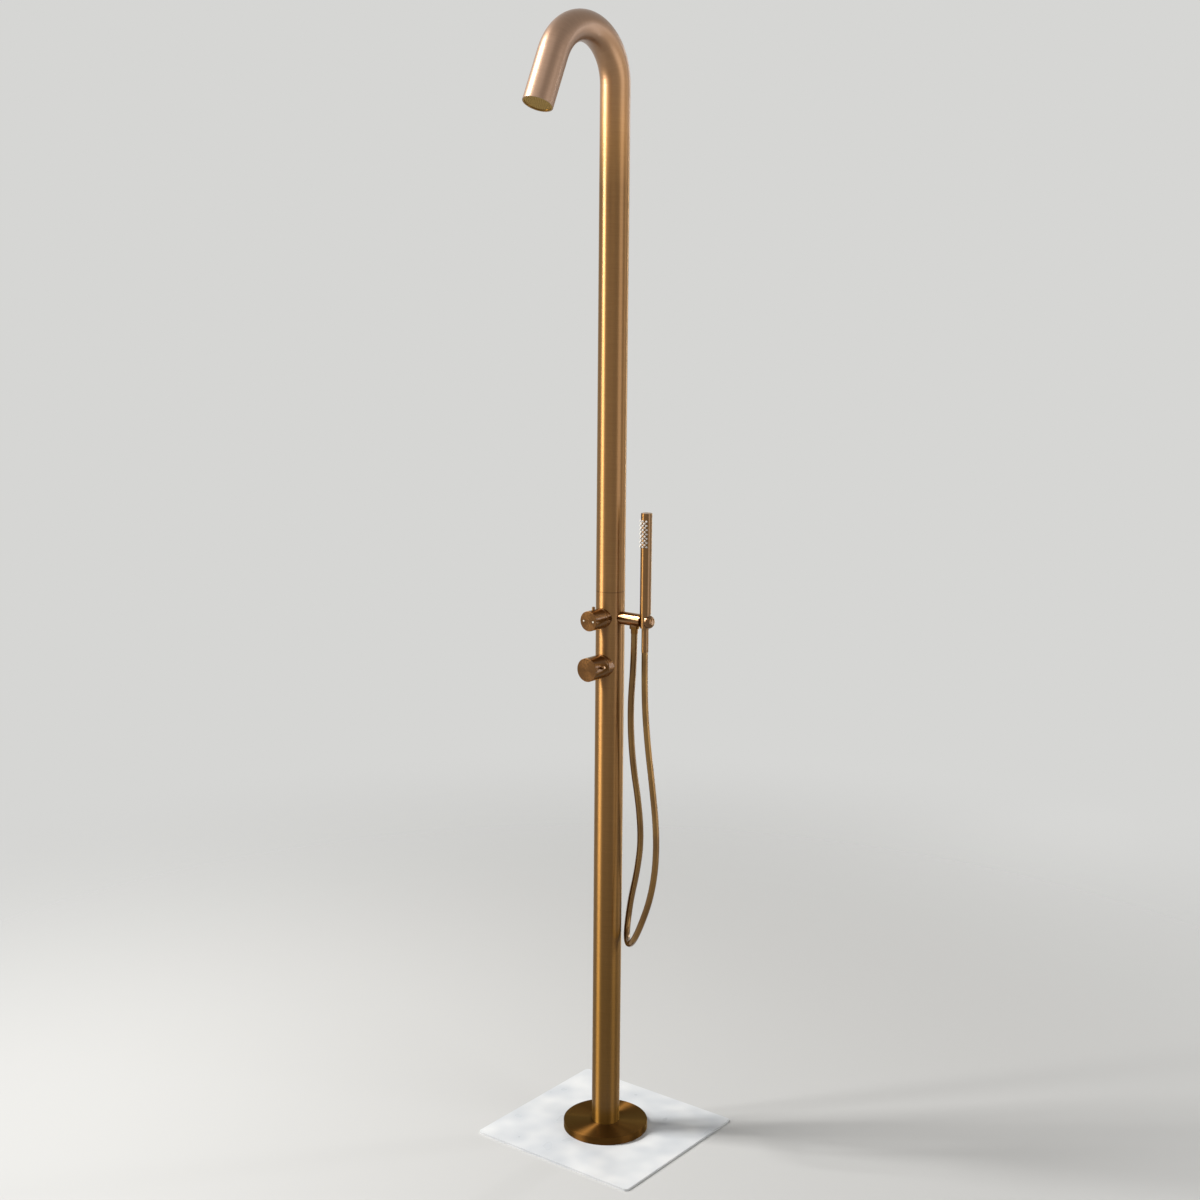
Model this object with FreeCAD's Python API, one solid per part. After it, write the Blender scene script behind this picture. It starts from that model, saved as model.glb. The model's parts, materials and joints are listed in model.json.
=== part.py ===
import FreeCAD, Part
import math
import os

# Free-standing outdoor shower in millimetres.
# Origin: on the column's axis at the underside of the ground plate. +Z is up, the controls and the spout face
# -Y, and the arm that carries the handset points along +X.

# Ground plate
plate_width = 400.0
plate_depth = 385.0
plate_thickness = 5.0
plate_corner_radius = 8.0
plate_port_diameter = 54.0

# Foot: gasket, flange, cover and fasteners
gasket_diameter = 150.0
gasket_thickness = 1.5
flange_diameter = 160.0
flange_thickness = 6.0
flange_step_thickness = 2.0
flange_step_width = 5.0
flange_collar_wall = 5.0
foot_hole_clearance = 1.0
cover_diameter = 182.0
cover_height = 16.5
cover_wall = 2.0
cover_chamfer = 0.8
cover_seal_thickness = 1.5
cover_seal_width = 4.0
bolt_diameter = 8.0
bolt_circle_diameter = 120.0
bolt_count = 4
bolt_head_diameter = 13.0
bolt_head_height = 4.0
bolt_socket_width = 5.0
bolt_socket_depth = 2.4
washer_diameter = 16.0
washer_thickness = 1.2

# Column and gooseneck
column_diameter = 60.0
column_wall = 1.5
total_height = 2329.0
bend_radius = 102.0
bend_angle = 155.0
spout_length = 104.0
sleeve_below = 19.0
sleeve_above = 51.0
sleeve_wall = 3.0
sleeve_clearance = 2.0
joint_screw_diameter = 4.0
joint_screw_heights = (20.0, 40.0)

# Inlet block with its two pipe threads, check valves and supply pipes
block_rim_thickness = 3.0
block_height = 26.0
inlet_thread_bore = 18.63
inlet_thread_depth = 14.0
inlet_spacing = 25.0
valve_diameter = 20.0
valve_length = 30.0
valve_spigot_diameter = 14.0
valve_spigot_length = 7.5
waterway_diameter = 9.0
supply_pipe_diameter = 12.0
supply_pipe_wall = 1.0
supply_socket_depth = 10.0
pipe_spacer_thickness = 8.0
pipe_spacer_shares = (0.3, 0.67)

# Valve bodies inside the column
body_gap = 0.5
mixer_height = 1040.0
mixer_body_below = 30.0
mixer_body_above = 32.0
control_spacing = 101.0
diverter_body_below = 33.0
diverter_body_above = 33.0
cavity_floor = 2.0
waterway_overlap = 3.0
mixer_port_diameter = 7.0
mixer_port_inset = 2.5
mixer_port_forward = 5.0

# Controls, measured outwards from the column's axis
boss_reach = 35.0
boss_spigot_reach = 24.0
boss_spigot_wall = 4.0
knob_gap = 0.6
knob_wall = 6.0
knob_front = 6.0
knob_chamfer = 0.6
mixer_knob_diameter = 49.0
mixer_knob_length = 43.0
mixer_cartridge_diameter = 29.6
mixer_lever_setback = 18.5
mixer_lever_angle = 12.0
mixer_lever_proud = 8.5
diverter_knob_diameter = 41.5
diverter_knob_length = 38.4
diverter_cartridge_diameter = 25.6
diverter_lever_setback = 17.0
diverter_lever_angle = 90.0
diverter_lever_proud = 7.0
cartridge_nut_thickness = 5.0
cartridge_nut_wall = 3.8
cartridge_nut_recess = 2.0
cartridge_recess = 0.5
cartridge_seal_thickness = 1.0
cartridge_seal_inset = 2.0
cartridge_seal_width = 3.0
spindle_diameter = 8.0
spindle_grip = 25.0
spindle_seat = 12.0
hub_wall = 3.5
hub_recess = 5.0
lever_diameter = 6.5
lever_chamfer = 0.8
grub_diameter = 4.0
grub_setback = 15.5
grub_access_diameter = 5.0

# Link pipe and riser pipe
riser_diameter = 15.0
riser_wall = 1.0
riser_socket_depth = 10.0
pipe_seal_thickness = 1.4
riser_spacer_thickness = 8.0
riser_spacer_shares = (0.2, 0.55, 0.9)
spacer_window_diameter = 12.0

# Spray head in the mouth of the gooseneck
spray_ring_recess = 0.2
spray_ring_thickness = 1.2
spray_ring_width = 2.0
spray_face_thickness = 2.0
spray_seal_thickness = 1.5
spray_seal_width = 2.6
spray_hole_diameter = 1.6
spray_hole_pitch = 4.5
spray_hole_rings = 5
distributor_depth = 15.0
distributor_back = 5.0
distributor_inlet_length = 15.0
distributor_inlet_wall = 4.0

# Outlet arm and cradle
arm_diameter = 27.0
arm_end = 74.0
arm_spigot_diameter = 18.0
arm_spigot_reach = 22.0
arm_seal_thickness = 1.8
arm_bore_diameter = 9.0
outlet_distance = 62.0
outlet_pad_diameter = 20.0
outlet_thread_diameter = 14.0
outlet_socket_depth = 8.0
cradle_length = 34.0
cradle_end_rounding = 9.5
cradle_slot_turn = 10.0
cradle_stud_diameter = 8.0
cradle_stud_length = 5.5

# Handset
handset_distance = 90.0
handset_forward = 1.0
handset_diameter = 23.0
handset_wall = 1.2
handset_length = 236.2
handset_foot_diameter = 20.6
handset_foot_top_diameter = 21.8
handset_shoulder_rise = 2.5
handset_cap_thickness = 2.0
handset_cap_plug = 5.0
handset_cap_chamfer = 0.8
handset_inlet_length = 13.0
handset_spigot_diameter = 11.0
handset_spigot_length = 13.0
handset_bore_diameter = 7.0
handset_seal_thickness = 1.5
core_diameter = 17.4
core_wall = 1.7
core_flange_thickness = 2.0
nozzle_start = 15.5
nozzle_pitch = 8.7
nozzle_columns = 5
nozzle_rows = 7
nozzle_column_angle = 19.0
nozzle_base_diameter = 3.2
nozzle_tip_diameter = 2.2
nozzle_proud = 2.8
nozzle_strip_thickness = 1.2
nozzle_strip_margin = 8.0
nozzle_strip_overhang = 12.0

# Hose, its nut, ferrule and connector
hose_diameter = 13.5
hose_wall = 2.5
hose_nut_diameter = 20.0
hose_nut_length = 5.0
hose_washer_thickness = 1.5
ferrule_diameter = 14.6
ferrule_length = 9.7
ferrule_head_thickness = 1.5
ferrule_neck_diameter = 10.0
connector_diameter = 14.6
connector_length = 48.3
swivel_ring_diameter = 14.2
swivel_ring_thickness = 2.0
swivel_neck_diameter = 10.0
swivel_collar_diameter = 12.0
swivel_collar_height = 4.0
swivel_neck_length = 13.3

# Clearances. A bare 1 in a cut or in a fused stub is how far it runs past a face or into a wall.
slip_fit = 0.1
close_fit = 0.05
running_fit = 0.05
end_gap = 0.2
seat_gap = 0.3

# Bends of the hose: distance to the right, distance forward of the axis as -y, and drop below its start
hose_bends = [
    (62.0, 0.0, 58.6),
    (54.0, 0.0, 158.6),
    (54.0, 8.0, 265.6),
    (60.0, 27.0, 374.6),
    (60.0, 36.0, 456.6),
    (47.0, 40.0, 529.6),
    (32.0, 42.0, 585.6),
    (24.0, 42.0, 636.6),
    (37.0, 19.0, 667.6),
    (65.0, -12.0, 671.6),
    (92.0, -30.0, 649.6),
    (112.0, -31.0, 607.6),
    (126.0, -20.0, 552.6),
    (131.0, -9.0, 485.6),
    (127.0, -3.0, 406.6),
    (116.0, -4.0, 316.6),
    (103.0, -7.0, 217.6),
    (90.0, -1.0, 123.6),
]

# Places that follow from the sizes above
column_radius = column_diameter / 2
column_bore_radius = column_radius - column_wall
flange_base = plate_thickness + gasket_thickness
flange_top = flange_base + flange_thickness
block_base = flange_base + flange_step_thickness
column_foot = block_base + block_rim_thickness
block_top = block_base + block_height
cover_inner_top = plate_thickness + cover_height - cover_wall
collar_top = cover_inner_top - cover_seal_thickness
inlet_offset = inlet_spacing / 2
valve_top = block_top + valve_length
body_radius = column_bore_radius - body_gap
mixer_base = mixer_height - mixer_body_below
mixer_top = mixer_height + mixer_body_above
diverter_height = mixer_height + control_spacing
diverter_base = diverter_height - diverter_body_below
diverter_top = diverter_height + diverter_body_above
joint_height = diverter_top + sleeve_clearance + sleeve_below
bend_height = total_height - column_radius - bend_radius
spacer_radius = column_bore_radius - slip_fit
outlet_underside = diverter_height - arm_diameter / 2
handset_base = outlet_underside
handset_shoulder = diverter_height + arm_diameter / 2 + handset_shoulder_rise
handset_top = handset_base + handset_length
handset_tube_top = handset_top - handset_cap_thickness
handset_bore_radius = handset_diameter / 2 - handset_wall
connector_base = handset_base - connector_length
hose_end_height = connector_base - end_gap - swivel_ring_thickness
hose_nut_top = outlet_underside - end_gap
hose_nut_base = hose_nut_top - hose_nut_length
hose_start_height = hose_nut_base - ferrule_length

# Route of the hose from the ferrule under the arm to the swivel under the handset, one point per bend
hose_route = [(outlet_distance, 0.0, hose_start_height)]
hose_route += [(x, y, hose_start_height - drop) for x, y, drop in hose_bends]
hose_route += [(handset_distance, -handset_forward, hose_end_height)]

UP = (0.0, 0.0, 1.0)
DOWN = (0.0, 0.0, -1.0)
FRONT = (0.0, -1.0, 0.0)
RIGHT = (1.0, 0.0, 0.0)


def vec(point):
    return FreeCAD.Vector(*point)


def along(start, direction, distance):
    return tuple(s + d * distance for s, d in zip(start, direction))


def rod(diameter, start, direction, length):
    """A round bar from start, length long."""
    return Part.makeCylinder(diameter / 2, length, vec(start), vec(direction))


def ring(outer, inner, start, direction, length):
    """A tube or washer with the two diameters; the bore is cut a little past both ends."""
    bore = rod(inner, along(start, direction, -1.0), direction, length + 2.0)
    return rod(outer, start, direction, length).cut(bore)


def upright(x, y, low, high, diameter):
    """A vertical bar at x, y between two heights."""
    return rod(diameter, (x, y, low), UP, high - low)


def circle_edges(shape, centre, direction, radius):
    """The circular edges of one radius that lie in the plane through centre."""
    normal = vec(direction)
    edges = []
    for edge in shape.Edges:
        if not isinstance(edge.Curve, Part.Circle) or abs(edge.Curve.Radius - radius) > 0.01:
            continue
        if abs((edge.Curve.Center - vec(centre)).dot(normal)) < 0.01:
            edges.append(edge)
    return edges


def chamfer_circles(shape, size, centre, direction, radius):
    return shape.makeChamfer(size, circle_edges(shape, centre, direction, radius))


def rounded_box(width, depth, height, radius):
    box = Part.makeBox(width, depth, height, vec((-width / 2, -depth / 2, 0.0)))
    upright_edges = [edge for edge in box.Edges if abs(edge.tangentAt(edge.FirstParameter).z) > 0.99]
    return box.makeFillet(radius, upright_edges)


def bolt_places():
    """Centres of the foot bolts, on the diagonals."""
    places = []
    for index in range(bolt_count):
        turn = 2 * math.pi * (index + 0.5) / bolt_count
        reach = bolt_circle_diameter / 2
        places.append((reach * math.cos(turn), reach * math.sin(turn)))
    return places


# Foot

def make_ground_plate():
    plate = rounded_box(plate_width, plate_depth, plate_thickness, plate_corner_radius)
    plate = plate.cut(upright(0, 0, -1, plate_thickness + 1, plate_port_diameter))
    for x, y in bolt_places():
        plate = plate.cut(upright(x, y, -1, plate_thickness + 1, bolt_diameter))
    return plate


def make_base_gasket():
    bore = column_diameter - 2 * flange_step_width + 2 * foot_hole_clearance
    gasket = ring(gasket_diameter, bore, (0, 0, plate_thickness), UP, gasket_thickness)
    for x, y in bolt_places():
        hole = bolt_diameter + foot_hole_clearance
        gasket = gasket.cut(upright(x, y, plate_thickness - 1, flange_base + 1, hole))
    return gasket


def make_foot_flange():
    """Flange with a collar round the column's foot and a step that carries the inlet block."""
    flange = upright(0, 0, flange_base, flange_top, flange_diameter)
    collar_diameter = column_diameter + 2 * flange_collar_wall
    flange = flange.fuse(upright(0, 0, flange_top - 1, collar_top, collar_diameter))
    flange = flange.cut(upright(0, 0, flange_base - 1, collar_top, column_diameter - 2 * flange_step_width))
    flange = flange.cut(upright(0, 0, block_base, collar_top + 1, column_diameter + 2 * close_fit))
    for x, y in bolt_places():
        hole = bolt_diameter + foot_hole_clearance
        flange = flange.cut(upright(x, y, flange_base - 1, flange_top + 1, hole))
    return flange.removeSplitter()


def make_foot_washers():
    bore = bolt_diameter + 4 * slip_fit
    return [ring(washer_diameter, bore, (x, y, flange_top), UP, washer_thickness) for x, y in bolt_places()]


def make_foot_bolts():
    bolts = []
    head_base = flange_top + washer_thickness
    for x, y in bolt_places():
        shank = upright(x, y, end_gap, head_base, bolt_diameter - 2 * slip_fit)
        head = upright(x, y, head_base, head_base + bolt_head_height, bolt_head_diameter)
        corner = bolt_socket_width / math.sqrt(3)
        points = []
        for index in range(7):
            turn = math.pi * index / 3
            points.append(vec((x + corner * math.cos(turn), y + corner * math.sin(turn),
                               head_base + bolt_head_height - bolt_socket_depth)))
        socket = Part.Face(Part.makePolygon(points)).extrude(vec((0, 0, bolt_socket_depth + 1)))
        bolts.append(shank.fuse(head).removeSplitter().cut(socket))
    return bolts


def make_flange_cover():
    """Round cover, open below, that hides the flange and its bolts."""
    top = plate_thickness + cover_height
    cover = upright(0, 0, plate_thickness, top, cover_diameter)
    cover = chamfer_circles(cover, cover_chamfer, (0, 0, top), UP, cover_diameter / 2)
    cover = cover.cut(upright(0, 0, plate_thickness - 1, cover_inner_top, cover_diameter - 2 * cover_wall))
    return cover.cut(upright(0, 0, plate_thickness, top + 1, column_diameter + 2 * seat_gap))


def make_cover_seal():
    outer = column_diameter + 2 * cover_seal_width
    return ring(outer, column_diameter + 2 * close_fit, (0, 0, collar_top), UP, cover_seal_thickness)


# Water supply in the column's foot

def inlet_places():
    """Cold on the right and hot on the left, seen from the front."""
    return {"cold": (inlet_offset, 0.0), "hot": (-inlet_offset, 0.0)}


def make_inlet_block():
    """Brass block clamped between the flange's step and the column, with a pipe thread for each supply."""
    block = upright(0, 0, block_base, column_foot, column_diameter)
    block = block.fuse(upright(0, 0, column_foot - 1, block_top, 2 * body_radius)).removeSplitter()
    thread_top = block_base + inlet_thread_depth
    for x, y in inlet_places().values():
        block = block.cut(upright(x, y, block_base - 1, thread_top, inlet_thread_bore))
        block = block.cut(upright(x, y, thread_top - 1, block_top, waterway_diameter))
        spigot_hole = valve_spigot_diameter + 2 * close_fit
        spigot_floor = block_top - valve_spigot_length - end_gap
        block = block.cut(upright(x, y, spigot_floor, block_top + 1, spigot_hole))
    return block


def make_check_valve(x, y):
    valve = upright(x, y, block_top, valve_top, valve_diameter)
    valve = valve.fuse(upright(x, y, block_top - valve_spigot_length, block_top + 1, valve_spigot_diameter))
    valve = valve.removeSplitter()
    valve = valve.cut(upright(x, y, block_top - valve_spigot_length - 1, valve_top, waterway_diameter))
    socket = supply_pipe_diameter + 2 * close_fit
    return valve.cut(upright(x, y, valve_top - supply_socket_depth, valve_top + 1, socket))


def make_supply_pipe(x, y):
    low = valve_top - supply_socket_depth + end_gap
    high = mixer_base + supply_socket_depth - end_gap
    bore = supply_pipe_diameter - 2 * supply_pipe_wall
    return ring(supply_pipe_diameter, bore, (x, y, low), UP, high - low)


def make_pipe_spacers():
    spacers = []
    for share in pipe_spacer_shares:
        height = valve_top + share * (mixer_base - valve_top)
        spacer = upright(0, 0, height, height + pipe_spacer_thickness, 2 * spacer_radius)
        for x, y in inlet_places().values():
            hole = supply_pipe_diameter + 2 * slip_fit
            spacer = spacer.cut(upright(x, y, height - 1, height + pipe_spacer_thickness + 1, hole))
        spacers.append(spacer)
    return spacers


# Column and gooseneck

def spout_direction():
    turn = math.radians(bend_angle)
    return (0.0, -math.sin(turn), math.cos(turn))


def gooseneck_path(low, shortening):
    """Centre line from a height on the column's axis, round the bend, to a distance short of the mouth."""
    turn = math.radians(bend_angle)

    def on_bend(angle):
        return vec((0.0, -bend_radius * (1 - math.cos(angle)), bend_height + bend_radius * math.sin(angle)))

    bend_end = on_bend(turn)
    mouth = bend_end + vec(spout_direction()) * (spout_length - shortening)
    rise = Part.LineSegment(vec((0, 0, low)), on_bend(0.0)).toShape()
    bend = Part.Arc(on_bend(0.0), on_bend(turn / 2), bend_end).toShape()
    spout = Part.LineSegment(bend_end, mouth).toShape()
    return Part.Wire([rise, bend, spout])


def sweep_circle(path, diameter, start, direction):
    circle = Part.Wire([Part.makeCircle(diameter / 2, vec(start), vec(direction))])
    return path.makePipeShell([circle], True, True)


def mouth_centre():
    turn = math.radians(bend_angle)
    end = (0.0, -bend_radius * (1 - math.cos(turn)), bend_height + bend_radius * math.sin(turn))
    return along(end, spout_direction(), spout_length)


def make_column_tube():
    tube = ring(column_diameter, 2 * column_bore_radius, (0, 0, column_foot), UP, joint_height - column_foot)
    for height, knob in ((mixer_height, mixer_knob_diameter), (diverter_height, diverter_knob_diameter)):
        tube = tube.cut(rod(boss_spigot(knob) + 4 * slip_fit, (0, 0, height), FRONT, column_diameter))
    arm_hole = arm_spigot_diameter + 4 * slip_fit
    return tube.cut(rod(arm_hole, (0, 0, diverter_height), RIGHT, column_diameter))


def make_gooseneck_tube():
    path = gooseneck_path(joint_height, 0.0)
    outside = sweep_circle(path, column_diameter, (0, 0, joint_height), UP)
    inside = sweep_circle(path, 2 * column_bore_radius, (0, 0, joint_height), UP)
    tube = outside.cut(inside)
    for height in joint_screw_heights:
        hole = joint_screw_diameter + 2 * slip_fit
        tube = tube.cut(rod(hole, (0, 0, joint_height + height), (0, 1, 0), column_diameter))
    return tube


def make_joint_sleeve():
    outer = 2 * (column_bore_radius - close_fit)
    sleeve = ring(outer, outer - 2 * sleeve_wall, (0, 0, joint_height - sleeve_below), UP,
                  sleeve_below + sleeve_above)
    for height in joint_screw_heights:
        hole = joint_screw_diameter + 2 * close_fit
        sleeve = sleeve.cut(rod(hole, (0, 0, joint_height + height), (0, 1, 0), column_diameter))
    return sleeve


def make_joint_screws():
    screws = []
    inner = column_bore_radius - close_fit - sleeve_wall
    for height in joint_screw_heights:
        start = (0, inner, joint_height + height)
        screws.append(rod(joint_screw_diameter, start, (0, 1, 0), column_radius - slip_fit - inner))
    return screws


# Valve bodies and controls

def boss_spigot(knob_diameter):
    """Diameter of the boss's spigot, which passes through the column's wall."""
    return boss_bore(knob_diameter) + 2 * boss_spigot_wall


def boss_bore(knob_diameter):
    if knob_diameter == mixer_knob_diameter:
        return mixer_cartridge_diameter + 4 * slip_fit
    return diverter_cartridge_diameter + 4 * slip_fit


def make_valve_body(height, low, high, knob_diameter):
    """Round brass body with the cartridge's cavity at the front and a spot face for the boss."""
    body = upright(0, 0, low, high, 2 * body_radius)
    cavity = boss_bore(knob_diameter)
    body = body.cut(rod(cavity, (0, -cavity_floor, height), FRONT, column_diameter))
    spot_face = boss_spigot(knob_diameter) + 4 * slip_fit
    return body.cut(rod(spot_face, (0, -boss_spigot_reach, height), FRONT, column_diameter))


def cut_pipe_socket(body, mouth, direction, passage_length):
    """Socket for the link or riser pipe, then a waterway on into the body."""
    inward = tuple(-part for part in direction)
    socket = riser_diameter + 2 * close_fit
    body = body.cut(rod(socket, along(mouth, direction, 1.0), inward, riser_socket_depth + 1.0))
    return body.cut(rod(waterway_diameter, mouth, inward, riser_socket_depth + passage_length))


def make_mixer_body():
    body = make_valve_body(mixer_height, mixer_base, mixer_top, mixer_knob_diameter)
    cavity_radius = boss_bore(mixer_knob_diameter) / 2
    for x, y in inlet_places().values():
        socket = supply_pipe_diameter + 2 * close_fit
        floor = mixer_base + supply_socket_depth
        body = body.cut(upright(x, y, mixer_base - 1, floor, socket))
        port_x = math.copysign(abs(x) - mixer_port_inset, x)
        port_top = mixer_height - cavity_radius / 2
        body = body.cut(upright(port_x, -mixer_port_forward, floor - 1, port_top, mixer_port_diameter))
    passage = mixer_body_above - riser_socket_depth - cavity_radius + waterway_overlap
    return cut_pipe_socket(body, (0, 0, mixer_top), UP, passage)


def make_diverter_body():
    body = make_valve_body(diverter_height, diverter_base, diverter_top, diverter_knob_diameter)
    cavity_radius = boss_bore(diverter_knob_diameter) / 2
    below = diverter_body_below - riser_socket_depth - cavity_radius + waterway_overlap
    above = diverter_body_above - riser_socket_depth - cavity_radius + waterway_overlap
    body = cut_pipe_socket(body, (0, 0, diverter_base), DOWN, below)
    body = cut_pipe_socket(body, (0, 0, diverter_top), UP, above)
    port_floor = arm_spigot_reach - arm_seal_thickness - end_gap
    port = arm_spigot_diameter + 2 * close_fit
    body = body.cut(rod(port, (port_floor, 0, diverter_height), RIGHT, column_diameter))
    passage_start = (cavity_radius - waterway_overlap, 0, diverter_height)
    return body.cut(rod(waterway_diameter, passage_start, RIGHT, column_radius))


def make_boss(height, knob_diameter):
    """Collar under a knob: its back is saddled to the column and its spigot seats in the valve body."""
    collar = rod(knob_diameter, (0, 0, height), FRONT, boss_reach)
    collar = collar.cut(upright(0, 0, height - knob_diameter, height + knob_diameter,
                                column_diameter + 2 * close_fit))
    collar = chamfer_circles(collar, knob_chamfer, (0, -boss_reach, height), FRONT, knob_diameter / 2)
    spigot = rod(boss_spigot(knob_diameter), (0, -boss_spigot_reach, height), FRONT,
                 boss_reach - boss_spigot_reach - 1)
    boss = collar.fuse(spigot).removeSplitter()
    return boss.cut(rod(boss_bore(knob_diameter), (0, 0, height), FRONT, column_diameter))


def nut_start():
    return boss_reach - cartridge_nut_recess - cartridge_nut_thickness


def make_cartridge(height, diameter):
    """Ceramic cartridge: a shouldered body with a neck that comes through its nut."""
    start = cavity_floor + cartridge_seal_thickness
    neck = diameter - 2 * cartridge_nut_wall - 2 * slip_fit
    body = rod(diameter, (0, -start, height), FRONT, nut_start() - start)
    neck_length = boss_reach - cartridge_recess - start
    body = body.fuse(rod(neck, (0, -start, height), FRONT, neck_length)).removeSplitter()
    bore = spindle_diameter + 2 * running_fit
    depth = boss_reach - nut_start() + spindle_seat
    return body.cut(rod(bore, (0, -boss_reach, height), (0, 1, 0), depth))


def make_cartridge_nut(height, diameter):
    outer = diameter + 2 * slip_fit
    return ring(outer, diameter - 2 * cartridge_nut_wall, (0, -nut_start(), height), FRONT,
                cartridge_nut_thickness)


def make_cartridge_seal(height, diameter):
    outer = diameter - 2 * cartridge_seal_inset
    return ring(outer, outer - 2 * cartridge_seal_width, (0, -cavity_floor, height), FRONT,
                cartridge_seal_thickness)


def knob_back():
    return boss_reach + knob_gap


def make_spindle(height):
    start = nut_start() - spindle_seat + end_gap
    return rod(spindle_diameter, (0, -start, height), FRONT, knob_back() + spindle_grip - start)


def make_knob(height, diameter, length, lever_setback, lever_angle):
    """Hollow turned knob with a hub on the spindle, a hole for its lever and an access hole underneath."""
    back = knob_back()
    front = back + length
    knob = rod(diameter, (0, -back, height), FRONT, length)
    knob = chamfer_circles(knob, knob_chamfer, (0, -front, height), FRONT, diameter / 2)
    knob = chamfer_circles(knob, knob_chamfer, (0, -back, height), FRONT, diameter / 2)
    knob = knob.cut(rod(diameter - 2 * knob_wall, (0, 0, height), FRONT, front - knob_front))
    hub = spindle_diameter + 2 * hub_wall
    knob = knob.fuse(rod(hub, (0, -back - hub_recess, height), FRONT, length - hub_recess - 1))
    knob = knob.removeSplitter()
    bore = spindle_diameter + 2 * close_fit
    knob = knob.cut(rod(bore, (0, 0, height), FRONT, back + spindle_grip + end_gap))
    hole_start, outward = lever_axis(height, front - lever_setback, lever_angle)
    lever_bore = rod(lever_diameter + 2 * close_fit, along(hole_start, outward, diameter / 2 - knob_wall - 1),
                     outward, knob_wall + 2)
    knob = knob.cut(lever_bore)
    grub_place = (0, -back - grub_setback, height)
    knob = knob.cut(rod(grub_diameter + 2 * close_fit, grub_place, DOWN, hub / 2 + 1))
    return knob.cut(rod(grub_access_diameter, along(grub_place, DOWN, hub / 2 + 1), DOWN, diameter))


def lever_axis(height, reach, angle):
    """A lever's start on the knob's axis and its direction; the angle is anticlockwise from +X."""
    turn = math.radians(angle)
    return (0.0, -reach, height), (math.cos(turn), 0.0, math.sin(turn))


def make_lever(height, diameter, length, lever_setback, lever_angle, lever_proud):
    start, outward = lever_axis(height, knob_back() + length - lever_setback, lever_angle)
    inner = diameter / 2 - knob_wall + end_gap
    tip = diameter / 2 + lever_proud
    lever = rod(lever_diameter, along(start, outward, inner), outward, tip - inner)
    return chamfer_circles(lever, lever_chamfer, along(start, outward, tip), outward, lever_diameter / 2)


def make_grub_screw(height):
    place = (0, -knob_back() - grub_setback, height)
    start = along(place, DOWN, spindle_diameter / 2 + close_fit)
    return rod(grub_diameter, start, DOWN, hub_wall)


# Link pipe, riser and spray head

def make_link_pipe():
    low = mixer_top - riser_socket_depth + pipe_seal_thickness
    high = diverter_base + riser_socket_depth - pipe_seal_thickness
    return ring(riser_diameter, riser_diameter - 2 * riser_wall, (0, 0, low), UP, high - low)


def spray_depth():
    """Distance from the gooseneck's mouth back to the distributor's front edge."""
    return spray_ring_recess + spray_ring_thickness + spray_face_thickness + spray_seal_thickness


def distributor_length():
    return distributor_depth + distributor_back + distributor_inlet_length


def make_pipe_seals():
    """Flat seals at the ends of the link pipe and the riser pipe."""
    seals = []
    starts = [(mixer_top - riser_socket_depth), (diverter_base + riser_socket_depth - pipe_seal_thickness),
              (diverter_top - riser_socket_depth)]
    bore = riser_diameter - 4 * riser_wall
    for low in starts:
        seals.append(ring(riser_diameter, bore, (0, 0, low), UP, pipe_seal_thickness))
    back = tuple(-part for part in spout_direction())
    floor = spray_depth() + distributor_length() - riser_socket_depth
    seals.append(ring(riser_diameter, bore, along(mouth_centre(), back, floor), back, pipe_seal_thickness))
    return seals


def make_riser_pipe():
    low = diverter_top - riser_socket_depth + pipe_seal_thickness
    shortening = spray_depth() + distributor_length() - riser_socket_depth + pipe_seal_thickness
    path = gooseneck_path(low, shortening)
    outside = sweep_circle(path, riser_diameter, (0, 0, low), UP)
    inside = sweep_circle(path, riser_diameter - 2 * riser_wall, (0, 0, low), UP)
    return outside.cut(inside)


def make_riser_spacers():
    """Discs that centre the riser pipe, with three windows round it."""
    spacers = []
    window_reach = (spacer_radius + riser_diameter / 2) / 2
    for share in riser_spacer_shares:
        height = joint_height + share * (bend_height - joint_height)
        spacer = upright(0, 0, height, height + riser_spacer_thickness, 2 * spacer_radius)
        spacer = spacer.cut(upright(0, 0, height - 1, height + riser_spacer_thickness + 1,
                                    riser_diameter + 2 * slip_fit))
        for index in range(3):
            turn = 2 * math.pi * index / 3
            x, y = window_reach * math.cos(turn), window_reach * math.sin(turn)
            spacer = spacer.cut(upright(x, y, height - 1, height + riser_spacer_thickness + 1,
                                        spacer_window_diameter))
        spacers.append(spacer)
    return spacers


def make_spray_ring():
    back = tuple(-part for part in spout_direction())
    outer = 2 * (column_bore_radius - close_fit)
    return ring(outer, outer - 2 * spray_ring_width, along(mouth_centre(), back, spray_ring_recess), back,
                spray_ring_thickness)


def make_spray_face():
    """Perforated plate: one hole in the middle and rings of six, twelve and so on round it."""
    back = tuple(-part for part in spout_direction())
    start = spray_ring_recess + spray_ring_thickness
    plate = Part.makeCylinder(column_bore_radius - close_fit, spray_face_thickness)
    holes = [(0.0, 0.0)]
    for ring_number in range(1, spray_hole_rings + 1):
        for index in range(6 * ring_number):
            turn = 2 * math.pi * index / (6 * ring_number)
            reach = ring_number * spray_hole_pitch
            holes.append((reach * math.cos(turn), reach * math.sin(turn)))
    drills = [upright(x, y, -1, spray_face_thickness + 1, spray_hole_diameter) for x, y in holes]
    plate = plate.cut(Part.makeCompound(drills))
    plate.Placement = FreeCAD.Placement(vec(along(mouth_centre(), back, start)),
                                        FreeCAD.Rotation(vec(UP), vec(back)))
    return plate


def make_spray_seal():
    back = tuple(-part for part in spout_direction())
    start = spray_ring_recess + spray_ring_thickness + spray_face_thickness
    outer = 2 * (column_bore_radius - slip_fit)
    return ring(outer, outer - 2 * spray_seal_width, along(mouth_centre(), back, start), back,
                spray_seal_thickness)


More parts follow.
